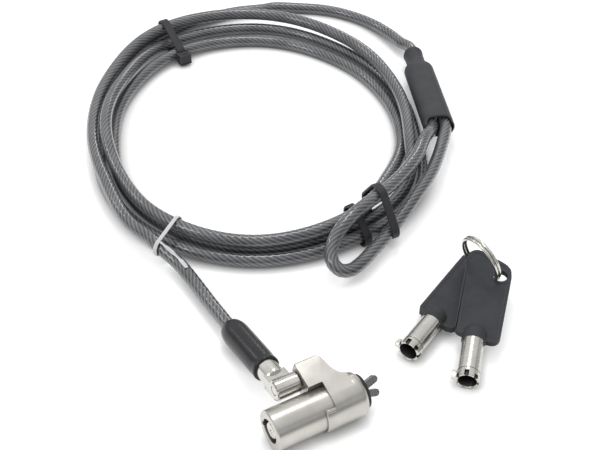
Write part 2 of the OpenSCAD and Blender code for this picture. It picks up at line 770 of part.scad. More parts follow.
module crimp_ferrule() {
    color("gainsboro") at_mouth() difference() {
        oval_bar(sleeve_w - 2 * sleeve_wall, sleeve_t - 2 * sleeve_wall, ferrule_start,
            ferrule_start + ferrule_len);
        for (s = [-1, 1]) translate([0, s * strand_gap, 0])
            rod_x(cable_d / 2 + 0.05, ferrule_start - 1, ferrule_start + ferrule_len + 1);
    }
}

// ---- ties ----

// Places a tie's outline across the coil: its own X runs outward from the coil's centre
module across_coil(angle) {
    translate([coil_x, coil_y, table_z]) rotate([90, 0, angle]) children();
}

// Strand centres, [radius, height], where the coil crosses station s of each turn
function strands_at(s) = [for (u = [s:stations:len(coil_turns) - 1]) let(
    q = curve_at(coil_turns, u)) [q[0], strand_height(q[1])]];

// A band w wide and t thick round strand centres p, clear of them by gap, and by slack more
// to the sides, where the strands run aslant
module band(p, gap, slack, t, w) {
    r = cable_d / 2 + gap;
    linear_extrude(w, center = true) difference() {
        hull() for (q = p, k = [-slack, slack]) translate([q[0] + k, q[1]])
            circle(r = r + t, $fn = 24);
        hull() for (q = p, k = [-slack, slack]) translate([q[0] + k, q[1]])
            circle(r = r, $fn = 24);
    }
}

module coil_tie() {
    s = 4;
    p = strands_at(s);
    inside = min([for (q = p) q[0]]) - cable_d / 2;
    color("#1e1e20") across_coil(coil_start - s * 360 / stations) {
        band(p, 0.15, 0.45, 0.6, 2.4);
        translate([inside - 2.6, 3.4, 0]) cube([3, 4.4, 3.8], center = true);
    }
}

module wire_tie() {
    s = stations - 0.15;
    p = concat(strands_at(s), [wire_tie_lead]);
    color("whitesmoke") across_coil(coil_start - s * 360 / stations) band(p, 0.2, 0.25, 0.45, 1.1);
}

module eye_strap() {
    s = 9.6;
    p = concat(strands_at(s), eye_legs);
    color("#242426") across_coil(coil_start - s * 360 / stations) band(p, 0.3, 0.95, 0.6, 2.6);
}

// ---- keys ----

// Places its children at a key's tube end, with X along the key to its bow
module at_key(end, height, heading, tilt) {
    translate([end[0], end[1], table_z + height]) rotate([0, 0, heading])
        rotate([0, -tilt, 0]) children();
}

// Outline p moved inwards by d, for points that go round anticlockwise
function inset(p, d) = let(n = len(p)) [for (i = [0:n - 1]) let(
    a = unit(p[i] - p[(i + n - 1) % n]), b = unit(p[(i + 1) % n] - p[i]),
    m = [-a[1] - b[1], a[0] + b[0]])
    p[i] + m * d / (1 + a * b)];

// Outline of the bow: a slanted front, one round hump and a clipped corner at the hole
bow_edge = [for (q = bow_points) [bow_start + q[0], -q[1]]];

module key_bow() {
    color("#3b3e42") difference() {
        union() {
            difference() {
                translate([0, 0, -bow_t / 2]) linear_extrude(bow_t) polygon(bow_edge);
                for (s = [-1, 1]) translate([0, 0, s * bow_t / 2 - bow_panel])
                    linear_extrude(2 * bow_panel) difference() {
                        polygon(inset(bow_edge, bow_rim));
                        translate([hole_along, -hole_across]) circle(r = hole_r + 0.9);
                    }
            }
            turned(concat([[0, bow_start - 0.2], [dome_r - 0.2, bow_start - 0.2],
                [dome_r, bow_start], [dome_r, bow_start + dome_len - dome_r]],
                [for (a = [15:15:90]) [dome_r * cos(a), bow_start + dome_len - dome_r
                    + dome_r * sin(a)]]));
        }
        rod_x(key_tube_d / 2 + 0.02, bow_start - 1, bow_start + 2);
        translate([hole_along, -hole_across, -bow_t]) cylinder(r = hole_r, h = 2 * bow_t,
            $fn = fine_fn);
    }
}

module key_tube() {
    r = key_tube_d / 2;
    bit_r = r + 0.12;
    bit_len = 2.6;
    nub = [1.4, 1.6, 1.3];
    color("silver") difference() {
        union() {
            turned([[r - key_wall, 0], [bit_r, 0], [bit_r, bit_len], [r, bit_len + 0.15],
                [r, bow_start + 1.9], [0, bow_start + 1.9], [0, tube_floor],
                [r - key_wall, tube_floor]]);
            translate([0.6, r - 0.3, -nub[2] / 2]) cube(nub);
        }
        block([-1, -r - 1, -0.8], [1.5, -r / 2, 0.8]);
    }
}

module key_a_tube() {
    at_key(key_a_end, key_a_height, key_a_turn, key_a_tilt) key_tube();
}

module key_a_bow() {
    at_key(key_a_end, key_a_height, key_a_turn, key_a_tilt) key_bow();
}

module key_b_tube() {
    at_key(key_b_end, key_b_height, key_b_turn, key_b_tilt) key_tube();
}

module key_b_bow() {
    at_key(key_b_end, key_b_height, key_b_turn, key_b_tilt) key_bow();
}

// A split ring wound twice
module key_ring() {
    turns = 2;
    steps = 24;
    r = (ring_d - ring_wire) / 2;
    pitch = ring_wire + 0.1;
    p = [for (i = [0:turns * steps]) [pitch * (i / steps - turns / 2),
        r * cos(360 * i / steps), r * sin(360 * i / steps)]];
    color("silver") translate([ring_centre[0], ring_centre[1], table_z + ring_centre[2]])
        rotate([0, 0, ring_turn]) rotate([0, -ring_lean, 0]) wire_tube(p, ring_wire, 8);
}

knuckle();
boot();
cable_lead();
cable_coil();
cable_tail();
crimp_sleeve();
crimp_ferrule();
cable_eye();
coil_tie();
eye_strap();
wire_tie();
collar();
pivot_pin();
rubber_washer();
circlip();
hook_carrier();
barrel();
barrel_pins();
hook_pin();
return_spring();
stator();
driver_pins();
pin_springs();
hook_upper();
hook_lower();
draw_rod();
drive_pin();
cam_pin();
key_core();
cam_sleeve();
key_pins();
key_ring();
key_a_tube();
key_a_bow();
key_b_tube();
key_b_bow();
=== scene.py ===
import math

import bmesh
import bpy
from mathutils import Matrix, Vector


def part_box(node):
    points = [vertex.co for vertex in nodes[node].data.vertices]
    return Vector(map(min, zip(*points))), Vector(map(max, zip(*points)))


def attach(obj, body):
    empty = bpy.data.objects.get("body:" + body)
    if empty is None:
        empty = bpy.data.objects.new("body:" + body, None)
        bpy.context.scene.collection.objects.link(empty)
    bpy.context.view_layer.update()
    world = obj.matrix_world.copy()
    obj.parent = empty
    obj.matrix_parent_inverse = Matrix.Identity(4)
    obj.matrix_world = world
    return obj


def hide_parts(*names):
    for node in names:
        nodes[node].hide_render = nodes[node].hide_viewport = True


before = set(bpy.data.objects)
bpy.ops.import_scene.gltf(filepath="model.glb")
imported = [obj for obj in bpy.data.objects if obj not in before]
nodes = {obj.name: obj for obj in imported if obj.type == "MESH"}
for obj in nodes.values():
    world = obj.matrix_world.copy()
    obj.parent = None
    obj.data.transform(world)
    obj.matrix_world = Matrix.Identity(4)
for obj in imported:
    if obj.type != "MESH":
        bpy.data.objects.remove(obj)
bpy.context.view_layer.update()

scene = bpy.context.scene


# ---- Camera ----
# It stands in front of the lock, to its left, and looks down on it at 41 degrees.
# A long lens keeps the coil, the lock head and the keys nearly in parallel view.
LOOK_DOWN = 41
HEADING = -29.6
camera = bpy.data.objects.new("camera", bpy.data.cameras.new("camera"))
scene.collection.objects.link(camera)
camera.location = (-0.13885, -0.20618, 0.2818)
camera.rotation_euler = (math.radians(90 - LOOK_DOWN), 0, math.radians(HEADING))
camera.data.sensor_width = 36
camera.data.lens = 73.8
camera.data.clip_start = 0.02
camera.data.clip_end = 20
scene.camera = camera


# ---- Table, world and lamps ----
# A plain pale table top that still takes the shadows; close to what lies on it, painted shade
# darkens its colour and its glow.
# A large lamp hangs overhead and one to the left, and two small ones behind rim the cable.
# Metal sees the same pale table, and a sky that is darker towards the horizon.
TABLE_Z = -0.0072


def add_node(tree, kind, inputs=(), **properties):
    """A node with its properties and inputs set; an input is a value or another's output."""
    made = tree.nodes.new(kind)
    for key, value in properties.items():
        setattr(made, key, value)
    for key, value in dict(inputs).items():
        if isinstance(value, bpy.types.NodeSocket):
            tree.links.new(value, made.inputs[key])
        else:
            made.inputs[key].default_value = value
    return made


class Finish:
    """A material round one Principled shader. What is the same all over is set on its sockets."""

    def __init__(self, name, **settings):
        self.slot = name
        self.material = bpy.data.materials.new(name + "_finish")
        self.material.use_nodes = True
        self.tree = self.material.node_tree
        self.shader = self.tree.nodes["Principled BSDF"]
        for key, value in settings.items():
            self.shader.inputs[key.replace("_", " ")].default_value = value

    def node(self, kind, inputs=(), **properties):
        return add_node(self.tree, kind, inputs, **properties)

    def math(self, operation, a, b=0.0, c=0.0):
        """The output of a sum on values or sockets."""
        return self.node("ShaderNodeMath", {0: a, 1: b, 2: c}, operation=operation).outputs[0]

    def noise(self, size, detail=3.0):
        """Noise of that grain size in metres, on the piece's own place."""
        where = self.node("ShaderNodeTexCoord").outputs["Object"]
        return self.node("ShaderNodeTexNoise", {"Vector": where, "Scale": 1 / size,
            "Detail": detail, "Roughness": 0.55}).outputs[0]

    def blend(self, amount, low, high):
        """A colour between two, where amount goes from 0 to 1."""
        low, high = (end if isinstance(end, bpy.types.NodeSocket) else (*end, 1)
            for end in (low, high))
        return self.node("ShaderNodeMix", {0: amount, 6: low, 7: high},
            data_type="RGBA").outputs[2]

    def span(self, amount, low, high, start, end):
        """Maps amount from start..end to low..high, and no further."""
        return self.node("ShaderNodeMapRange", {0: amount, 1: start, 2: end, 3: low,
            4: high}).outputs[0]

    def edge(self, radius):
        """1 at sharp edges and 0 on open faces, from how far a rounded normal turns."""
        rounded = self.node("ShaderNodeBevel", {"Radius": radius}, samples=4).outputs[0]
        plain = self.node("ShaderNodeNewGeometry").outputs["Normal"]
        turn = self.node("ShaderNodeVectorMath", {0: rounded, 1: plain}, operation="DOT_PRODUCT")
        return self.span(turn.outputs["Value"], 1.0, 0.0, 0.75, 0.98)

    def wear(self, socket, value):
        """Lets a pattern drive a socket of the shader."""
        self.tree.links.new(value, self.shader.inputs[socket])

    def bump(self, height, depth, strength):
        """Fine relief of that depth in metres."""
        bump = self.node("ShaderNodeBump", {"Height": height, "Distance": depth,
            "Strength": strength})
        self.wear("Normal", bump.outputs[0])


# Painted shade: near the pieces on it, the table's colour is blended towards a dark grey and its
# glow is dimmed.
PAINTED_SHADE_REACH = 0.004
PAINTED_SHADE = (0.3, 0.3, 0.3)
TABLE_GREYS = ((0.86, 0.86, 0.86), (0.88, 0.88, 0.88))
TABLE_GLOW = 0.42
table_top = Finish("table_top", Roughness=0.9)
openness = table_top.node("ShaderNodeAmbientOcclusion", {"Distance": PAINTED_SHADE_REACH},
    samples=8).outputs["AO"]
table_top.wear("Base Color", table_top.blend(openness, PAINTED_SHADE,
    table_top.blend(table_top.noise(0.05), *TABLE_GREYS)))
rays = table_top.node("ShaderNodeLightPath").outputs
seen = table_top.math("MAXIMUM", table_top.math("MAXIMUM", rays["Is Camera Ray"],
    rays["Is Glossy Ray"]), rays["Is Transmission Ray"])
glow = table_top.node("ShaderNodeEmission", {"Strength": table_top.math("MULTIPLY",
    table_top.math("MULTIPLY", seen, openness), TABLE_GLOW)})
both = table_top.node("ShaderNodeAddShader", {0: table_top.shader.outputs[0],
    1: glow.outputs[0]})
table_top.tree.links.new(both.outputs[0],
    table_top.tree.nodes["Material Output"].inputs["Surface"])

TABLE_HALF = 3.0
table_mesh = bpy.data.meshes.new("table")
table_mesh.from_pydata([(x * TABLE_HALF, y * TABLE_HALF, TABLE_Z) for x, y in
    ((-1, -1), (1, -1), (1, 1), (-1, 1))], [], [(0, 1, 2, 3)])
table_mesh.materials.append(table_top.material)
table = bpy.data.objects.new("table", table_mesh)
scene.collection.objects.link(table)

SKY_LEAN = 0.25
SKY_GREYS = ((0.0, 0.18), (0.24, 0.09), (0.38, 0.18), (0.54, 0.85), (1.0, 0.95))
world = bpy.data.worlds.new("sky")
scene.world = world
world.use_nodes = True
sky = world.node_tree
height = add_node(sky, "ShaderNodeVectorMath", {0: add_node(sky,
    "ShaderNodeTexCoord").outputs["Generated"], 1: (0, SKY_LEAN, 1)}, operation="DOT_PRODUCT")
bands = add_node(sky, "ShaderNodeValToRGB", {0: height.outputs["Value"]})
for place, grey in SKY_GREYS:
    stop = bands.color_ramp.elements.new(place) if 0 < place < 1 else \
        bands.color_ramp.elements[int(place)]
    stop.color = (grey, grey, grey, 1)
sky.links.new(bands.outputs[0], sky.nodes["Background"].inputs["Color"])

LAMP_AIM = Vector((0.02, 0.05, 0))
for name, place, size, watts in (
        ("overhead", (0.28, 0.52, 1.15), 0.26, 1.9),
        ("side", (-0.85, 0.1, 0.75), 0.3, 1.6),
        ("left_rim", (-0.49, 0.98, 0.69), 0.12, 0.5),
        ("right_rim", (0.69, 0.98, 0.49), 0.12, 0.4)):
    lamp = bpy.data.objects.new(name, bpy.data.lights.new(name, "AREA"))
    lamp.data.size = size
    lamp.data.energy = watts
    lamp.location = place
    lamp.rotation_euler = (LAMP_AIM - Vector(place)).to_track_quat("-Z", "Y").to_euler()
    scene.collection.objects.link(lamp)
scene.view_settings.view_transform = "Standard"


# ---- Steel cable ----
# One galvanised wire rope in a smoky clear jacket, 4.8 mm over the jacket, from the ferrule
# through two tidy coils to the crimp sleeve, and on round the eye and back into the sleeve.
MM = 0.001
CABLE_R = 2.4 * MM
COIL_REST = 1.92
LAYER_RISE = 5.35
COIL_CENTRE = (34.5, 131.8)
COIL_START = 210.4
STATIONS = 12

# At each twelfth of a turn: the distance from the coil's centre in mm, and how many layers up.
COIL = [
    (71.6, 1.02), (62.8, 1.1), (63.1, 1.02), (70.3, 1.12), (82.4, 1.24), (83.5, 1.05),
    (73.2, 1), (62.2, 1), (57.9, 1.04), (62.4, 0.25), (62, 0.2), (62.9, 0.15),
    (60.1, 0.22), (56, 0.05), (55.5, 0.05), (61.8, 0.1), (69.6, 0.25), (70.6, 0.05),
    (64.3, 0), (58.3, 0), (55.2, 0), (55, 0.6), (63, 1.32), (64.7, 1.12),
    (62, 1.22), (56.8, 1.06), (58, 1.55), (63.9, 1.2), (78.1, 0.25), (80.4, 0.05),
    (71.7, 0), (64.2, 0), (61.5, 0), (68.1, 0.25), (67.8, 0.2), (68.8, 0.15),
    (66.6, 0.22), (62.3, 0.05), (61.4, 0), (70.1, 0.08), (84.4, 0.25), (96.9, 0.06)]

# The rest of the route, by mm across the table and mm above it.
LEAD = [(-21.9, 53, 4.6), (-22, 60, 4.2), (-22.1, 67, 4.1), (-22.4, 74, 4.3), (-23.2, 81, 5)]
TAIL = [(98, 208.3, 2), (104.2, 203.6, 2), (110.4, 196.8, 2), (115.4, 188, 2.1),
    (118, 178.8, 2.7), (118.9, 168.6, 3.5), (118.5, 160, 4.5)]
EYE = [(83.7, 91.2, 11.4), (73.4, 81.7, 13.2), (62.6, 74.6, 14.2), (52, 69.4, 14.9),
    (42.5, 66.3, 15), (34, 63.4, 14.2), (27.2, 60.3, 12.4), (22.9, 57, 10.1),
    (20.9, 52.8, 7.9), (22.1, 49.6, 6.4), (25.7, 48.7, 5.6), (31, 50.4, 5.3),
    (37.2, 53.4, 5.3), (44.3, 56.9, 5.5), (53.2, 61.7, 6.3), (64.3, 68, 8),
    (77, 76.4, 8.5), (90, 88.6, 7.9)]

# The hinge pin's centre, and the ferrule that slopes down from it to the table.
PIN = Vector((0, 9.274, 4.877)) * MM
SHANK_X = -21.8 * MM
SHANK_DROP = 1.15 * MM
SLOPE = math.radians(9)
BOOT_END = 36.2
FERRULE = (Matrix.Translation((SHANK_X, PIN.y, PIN.z - SHANK_DROP))
    @ Matrix.Rotation(-SLOPE, 4, "X") @ Matrix.Rotation(math.pi / 2, 4, "Z"))


def on_table(points):
    """Points given by mm across the table and mm above it."""
    return [Vector((x * MM, y * MM, h * MM + TABLE_Z)) for x, y, h in points]


# The crimp sleeve's mouth and neck, and the frame with X along it.
MOUTH, NECK = on_table([(95.1, 97.6, 8.1), (116.6, 148.4, 6)])
SLEEVE_LEN = 44 * MM
along = (NECK - MOUTH).normalized()
across = Vector((0, 0, 1)).cross(along).normalized()
SLEEVE = Matrix((along, across, along.cross(across))).transposed().to_4x4()
SLEEVE.translation = MOUTH
STRAND_GAP = 2.6 * MM
FERRULE_START = 6 * MM
FERRULE_END = 32 * MM


def smooth_between(p, u):
    """The smooth curve through the values p, at u counted from the first."""
    i = min(int(u), len(p) - 2)
    f = u - i
    a, b, c, d = (Vector(p[max(0, min(i + k, len(p) - 1))]) for k in (-1, 0, 1, 2))
    return (2 * b + (c - a) * f + (2 * a - 5 * b + 4 * c - d) * f ** 2
        + (3 * b - a - 3 * c + d) * f ** 3) / 2


def in_sleeve(s, side):
    """A point on the cable's line, at s along the sleeve, in one or the other bore."""
    return SLEEVE @ Vector((s, side * STRAND_GAP, 0))


def coil_point(u):
    """The cable's centre, u stations round the coil."""
    radius, layer = smooth_between(COIL, u)
    a = math.radians(COIL_START - u * 360 / STATIONS)
    return Vector((COIL_CENTRE[0] + radius * math.cos(a), COIL_CENTRE[1] + radius * math.sin(a),
        COIL_REST + max(layer, 0) * LAYER_RISE)) * MM + Vector((0, 0, TABLE_Z))


def evenly(points, step):
    """A smooth line through points at any distances, with points a step apart."""
    def towards(p, q, start, end):
        return p + (q - p) * ((u - start) / (end - start))

    line = [points[0]]
    for i in range(len(points) - 1):
        a, b, c, d = (points[max(0, min(i + k, len(points) - 1))] for k in (-1, 0, 1, 2))
        t = [0.0]
        for p, q in ((a, b), (b, c), (c, d)):
            t.append(t[-1] + max((q - p).length, 1e-6) ** 0.5)
        n = max(2, math.ceil((c - b).length / step * 2))
        for k in range(1, n + 1):
            u = t[1] + (t[2] - t[1]) * k / n
            ab, bc, cd = (towards(a, b, t[0], t[1]), towards(b, c, t[1], t[2]),
                towards(c, d, t[2], t[3]))
            abc, bcd = towards(ab, bc, t[0], t[2]), towards(bc, cd, t[1], t[3])
            line.append(towards(abc, bcd, t[1], t[2]))
    out, left = [line[0]], step
    for p, q in zip(line, line[1:]):
        gap = (q - p).length
        while left <= gap:
            out.append(p.lerp(q, left / gap))
            left += step
        left -= gap
    return out


SHARP_OVER = math.radians(40)


def placed(name, mesh, body, finish):
    """A piece from a finished mesh, smooth but for its sharp edges, riding on a body."""
    mesh.shade_smooth()
    mesh.set_sharp_from_angle(angle=SHARP_OVER)
    mesh.materials.clear()
    mesh.materials.append(finish.material)
    made = bpy.data.objects.new(name, mesh)
    scene.collection.objects.link(made)
    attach(made, body)
    return made


def joined(name, rings, body, finish, uv=None, loop=False):
    """A closed piece from rings of points, each joined to the next, riding on a body."""
    n = len(rings[0])
    steps = [(i * n, (i + 1) % len(rings) * n) for i in range(len(rings) - (not loop))]
    faces = [(a + k, a + (k + 1) % n, b + (k + 1) % n, b + k) for a, b in steps for k in range(n)]
    if not loop:
        faces += [tuple(range(n))[::-1], tuple(range((len(rings) - 1) * n, len(rings) * n))]
    mesh = bpy.data.meshes.new(name)
    mesh.from_pydata([p for ring in rings for p in ring], [], faces)
    if uv:
        layer = mesh.uv_layers.new(name="along")
        for face in mesh.polygons:
            if len(face.vertices) != 4:
                continue
            wraps = {v % n for v in face.vertices} == {0, n - 1}
            for corner, v in zip(face.loop_indices, face.vertices):
                k = v % n
                layer.data[corner].uv = (1.0 if wraps and k == 0 else k / n, uv[v // n])
    return placed(name, mesh, body, finish)


STRANDS = 10
LAY_LEN = 25 * MM
WIRES = 3
WIRE_LAY = 2.2 * MM
cable_jacket = Finish("cable_jacket", Metallic=0.35, Coat_Weight=1.0, Coat_Roughness=0.12,
    Coat_IOR=1.5, Roughness=0.4)
run = cable_jacket.node("ShaderNodeSeparateXYZ",
    {0: cable_jacket.node("ShaderNodeUVMap", uv_map="along").outputs[0]}).outputs
strand = cable_jacket.math("COSINE", cable_jacket.math("MULTIPLY", run["X"],
    2 * math.pi * STRANDS))
wire = cable_jacket.math("COSINE", cable_jacket.math("ADD",
    cable_jacket.math("MULTIPLY", run["X"], 2 * math.pi * STRANDS * WIRES),
    cable_jacket.math("MULTIPLY", run["Y"], 2 * math.pi / WIRE_LAY)))
crest = cable_jacket.math("MULTIPLY_ADD", wire, 0.1,
    cable_jacket.math("MULTIPLY_ADD", strand, 0.4, 0.5))
patchy = cable_jacket.span(cable_jacket.noise(9 * MM, 2.0), -0.15, 0.15, 0.3, 0.7)
shine = cable_jacket.math("ADD", crest, patchy)
cable_jacket.wear("Base Color", cable_jacket.blend(shine, (0.03, 0.032, 0.036),
    (0.19, 0.195, 0.205)))
cable_jacket.wear("Roughness", cable_jacket.span(cable_jacket.noise(1.5 * MM), 0.34, 0.46,
    0.3, 0.7))
cable_jacket.bump(cable_jacket.noise(4 * MM, 4.0), 0.05 * MM, 0.6)

coil_line = [coil_point(i / 4) for i in range((len(COIL) - 1) * 4 + 1)]
coil_in = (coil_point(0.5) - coil_point(0)).normalized()
coil_out = (coil_point(len(COIL) - 1) - coil_point(len(COIL) - 1.5)).normalized()
STRAIGHT = 4.8
route = [FERRULE @ Vector((s * MM, 0, 0)) for s in (14.2, 23.2, 31.2, BOOT_END)]
route += on_table(LEAD)
route += [coil_line[0] - coil_in * STRAIGHT * MM]
route += coil_line
route += [coil_line[-1] + coil_out * STRAIGHT * MM]
route += on_table(TAIL)
route += [in_sleeve(s, side) for s, side in (
    (SLEEVE_LEN + 16.2 * MM, 0), (SLEEVE_LEN + 5 * MM, 0), (SLEEVE_LEN, 0),
    (SLEEVE_LEN - 5 * MM, 0.5), (FERRULE_END + STRAIGHT * MM, 1), (FERRULE_END, 1),
    (FERRULE_START, 1), (1 * MM, 1))]
route += on_table(EYE)
route += [in_sleeve(1 * MM, -1), in_sleeve(FERRULE_START, -1), in_sleeve(FERRULE_END, -1)]

CABLE_STEP = 1.25 * MM
CABLE_SIDES = 4 * STRANDS
RIPPLE = 0.05 * MM
FLOOR_GAP = 0.02 * MM
cable_line = evenly(route, CABLE_STEP)
side = Vector((0, 0, 1))
rings = []
for i, p in enumerate(cable_line):
    ahead = (cable_line[min(i + 1, len(cable_line) - 1)] - cable_line[max(i - 1, 0)]).normalized()
    side = (side - ahead * side.dot(ahead)).normalized()
    over = ahead.cross(side)
    turn = 2 * math.pi * i * CABLE_STEP / LAY_LEN
    ring = []
    for k in range(CABLE_SIDES):
        a = turn + 2 * math.pi * k / CABLE_SIDES
        r = CABLE_R - RIPPLE * (0.5 - 0.5 * math.cos(2 * math.pi * k * STRANDS / CABLE_SIDES))
        q = p + r * (math.cos(a) * side + math.sin(a) * over)
        q.z = max(q.z, TABLE_Z + FLOOR_GAP)
        ring.append(q)
    rings.append(ring)
cable = joined("cable", rings, "cable", cable_jacket,
    uv=[i * CABLE_STEP for i in range(len(rings))])
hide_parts("cable_lead", "cable_coil", "cable_tail", "cable_eye")


# ---- Ferrule and boot ----
# The swivel ferrule is one nickel-plated casting: an eye for the hinge pin, a flat neck and
# a shank crimped on the cable. A soft black rubber boot is pushed over shank and cable.
METAL_PATCH = 6 * MM
RUBBED_EDGE = 0.15 * MM
RUBBED_GAIN = 1.15
SOFT_PATCH = 5 * MM
# How far the highlight painted on the edges of moulded pieces reaches.
PAINTED_HIGHLIGHT_EDGE = 0.35 * MM


def metal(name, low, high, rough, grain, depth):
    """A plated or bare metal with patchy shade, fine grain and bright rubbed edges."""
    finish = Finish(name, Metallic=1.0)
    patches = finish.span(finish.noise(METAL_PATCH), 0.0, 1.0, 0.35, 0.65)
    colour = finish.blend(patches, low, high)
    bright = tuple(min(1, c * RUBBED_GAIN) for c in high)
    finish.wear("Base Color", finish.blend(finish.edge(RUBBED_EDGE), colour, bright))
    fine = finish.noise(grain, 2.0)
    finish.wear("Roughness", finish.span(fine, rough - 0.04, rough + 0.05, 0.3, 0.7))
    finish.bump(fine, depth, 0.5)
    return finish


def soft(name, low, high, rough, grain, depth, gloss=0.35, vary=1.0):
    """A moulded plastic or rubber with faint mottling, a fine grain and a highlight painted paler
    along its edges.
    Vary is how much its roughness changes from place to place."""
    finish = Finish(name, **{"Specular IOR Level": gloss})
    patches = finish.span(finish.noise(SOFT_PATCH, 4.0), 0.0, 1.0, 0.3, 0.7)
    # Painted highlight: sharp edges are made paler in the colour, as rims that catch the light.
    painted_edge_highlight = tuple(c * 2 + 0.01 for c in high)
    finish.wear("Base Color", finish.blend(finish.edge(PAINTED_HIGHLIGHT_EDGE),
        finish.blend(patches, low, high), painted_edge_highlight))
    fine = finish.noise(grain, 2.0)
    finish.wear("Roughness", finish.span(fine, rough - 0.06 * vary, rough + 0.08 * vary,
        0.3, 0.7))
    finish.bump(fine, depth, 0.6)
    return finish


def dress(finish, *names):
    """Gives CAD pieces their finish."""
    for name in names:
        mesh = nodes[name].data
        mesh.materials.clear()
        mesh.materials.append(finish.material)


FLAT_UNDER = math.radians(0.5)
CORNER_OVER = math.radians(18)
EDGE_OVER = math.radians(35)
LONG_EDGE = 2.2 * MM


def eased(node, body, finish, radius, steps=2, upright=None, corner=0.0):
    """A piece like a CAD one, with its edges rounded as casting and tumbling leave them.
    Edges that run the way of upright are rounded first, to the radius corner."""
    solid = nodes[node].data
    mesh = bpy.data.meshes.new(node + "_piece")
    mesh.from_pydata([v.co[:] for v in solid.vertices], [],
        [tuple(face.vertices) for face in solid.polygons])
    shape = bmesh.new()
    shape.from_mesh(mesh)
    bmesh.ops.remove_doubles(shape, verts=shape.verts, dist=1e-6)
    bmesh.ops.dissolve_limit(shape, angle_limit=FLAT_UNDER, verts=shape.verts,
        edges=shape.edges)
    if upright:
        standing = [e for e in shape.edges if e.calc_length() > LONG_EDGE
            and abs((e.verts[0].co - e.verts[1].co).normalized().dot(upright)) > 0.999
            and e.calc_face_angle_signed(0) > CORNER_OVER]
        bmesh.ops.bevel(shape, geom=standing, offset=corner, segments=5, profile=0.5,
            affect="EDGES")
    shape.to_mesh(mesh)
    shape.free()
    made = placed(node + "_piece", mesh, body, finish)
    bevel = made.modifiers.new("edges", "BEVEL")
    bevel.width = radius
    bevel.segments = steps
    bevel.limit_method = "ANGLE"
    bevel.angle_limit = EDGE_OVER
    bevel.use_clamp_overlap = True
    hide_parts(node)


def circle_ring(frame_of, s, r, sides):
    """A ring of points of radius r round a frame's X axis, at s along it."""
    return [frame_of @ Vector((s, r * math.cos(a), r * math.sin(a)))
        for a in (2 * math.pi * k / sides for k in range(sides))]


nickel = metal("nickel", (0.56, 0.545, 0.51), (0.66, 0.645, 0.61), 0.18, 0.2 * MM, 0.004 * MM)
eased("knuckle", "cable", nickel, 0.18 * MM)
dress(nickel, "pivot_pin")

boot_rubber = soft("boot_rubber", (0.013, 0.013, 0.016), (0.019, 0.019, 0.023), 0.27, 1.2 * MM,
    0.0002 * MM, 0.4, 0.15)
BOOT_SIDES = 72
BOOT_START = 11.2
BOOT_R = 4.5
SHANK_R = 3.67
HOLE_R = 2.45
SHANK_END = 23.3
DOME_LEN = 5.6
LIP = 0.5

# Station and radius in mm: from the rolled front edge over the dome, and back inside.
boot_profile = [(BOOT_START, SHANK_R), (BOOT_START, 4.1), (11.3, 4.33), (11.6, 4.47),
    (12, BOOT_R), (12.5, 4.45), (13, 4.38), (13.8, 4.4), (15.5, 4.47), (19, BOOT_R),
    (24, BOOT_R), (28, 4.49)]
boot_profile += [(BOOT_END - DOME_LEN + DOME_LEN * math.sin(a),
    HOLE_R + LIP + (BOOT_R - HOLE_R - LIP) * math.cos(a))
    for a in (math.pi / 2 * k / 12 for k in range(13))]
boot_profile += [(BOOT_END, HOLE_R + 0.2), (36.05, HOLE_R), (SHANK_END, HOLE_R),
    (SHANK_END, SHANK_R)]
boot = joined("boot_sleeve", [circle_ring(FERRULE, s * MM, r * MM, BOOT_SIDES)
    for s, r in boot_profile], "cable", boot_rubber, loop=True)
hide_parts("boot")


# ---- Crimp sleeve ----
# A dark moulded cover over the crimp: a flat oval body with an arch cut in its mouth, and a
# round neck that grips the cable. The bare double-bore ferrule is pressed inside it.
sleeve_plastic = soft("sleeve_plastic", (0.036, 0.038, 0.042), (0.05, 0.052, 0.057), 0.55,
    0.2 * MM, 0.012 * MM)
ferrule_metal = metal("ferrule_metal", (0.5, 0.5, 0.5), (0.62, 0.62, 0.62), 0.4, 0.3 * MM,
    0.01 * MM)
dress(ferrule_metal, "crimp_ferrule")
SLEEVE_SIDES = 72
FLAT_SHARE = 0.35
ARCH_R = 3.4
ARCH_UP = 5.4
ARCH_FADE = 8


def oval_ring(s, half_w, half_t):
    """A flat oval ring round the sleeve's axis; near the mouth its top is cut to the arch."""
    ring = []
    for k in range(SLEEVE_SIDES):
        a = 2 * math.pi * k / SLEEVE_SIDES
        to_side = max(-1, min(1, math.cos(a) / FLAT_SHARE))
        y = (half_w - half_t) * to_side + half_t * math.cos(a)
        z = half_t * math.sin(a)
        cut = math.sqrt(max(0, ARCH_R ** 2 - (ARCH_UP - z) ** 2)) if z > 0 else 0
        at = cut + s * (1 - cut / ARCH_FADE) if s < ARCH_FADE else s
        ring.append(SLEEVE @ (Vector((at, y, z)) * MM))
    return ring


# Station, half width and half thickness in mm: the outside, and back inside to the mouth.
sleeve_profile = [(0, 5.55, 3.55), (0, 5.85, 3.88), (0.25, 6, 4), (1, 6, 4), (2, 6, 4),
    (4, 6, 4), (ARCH_FADE, 6, 4), (20, 6, 4), (40.5, 6, 4), (41.7, 5.93, 3.97),
    (42.5, 5.7, 3.9), (43.1, 5.3, 3.85), (43.6, 4.75, 3.8), (44.1, 4.3, 3.78),
    (44.9, 3.98, 3.76), (46, 3.84, 3.76), (49, 3.8, 3.8), (52.6, 3.8, 3.8), (53, 3.95, 3.95),
    (53.5, 4.02, 4.02), (54.2, 4, 4), (54.8, 3.8, 3.8), (55.1, 3.4, 3.4), (55.15, 2.6, 2.6),
    (54.9, 2.47, 2.47), (41.8, 2.47, 2.47), (41.8, 5.4, 3.4), (ARCH_FADE, 5.4, 3.4),
    (4, 5.4, 3.4), (1, 5.4, 3.4), (0.15, 5.42, 3.42)]
sleeve = joined("sleeve_cover", [oval_ring(*part) for part in sleeve_profile], "cable",
    sleeve_plastic, loop=True)
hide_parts("crimp_sleeve")


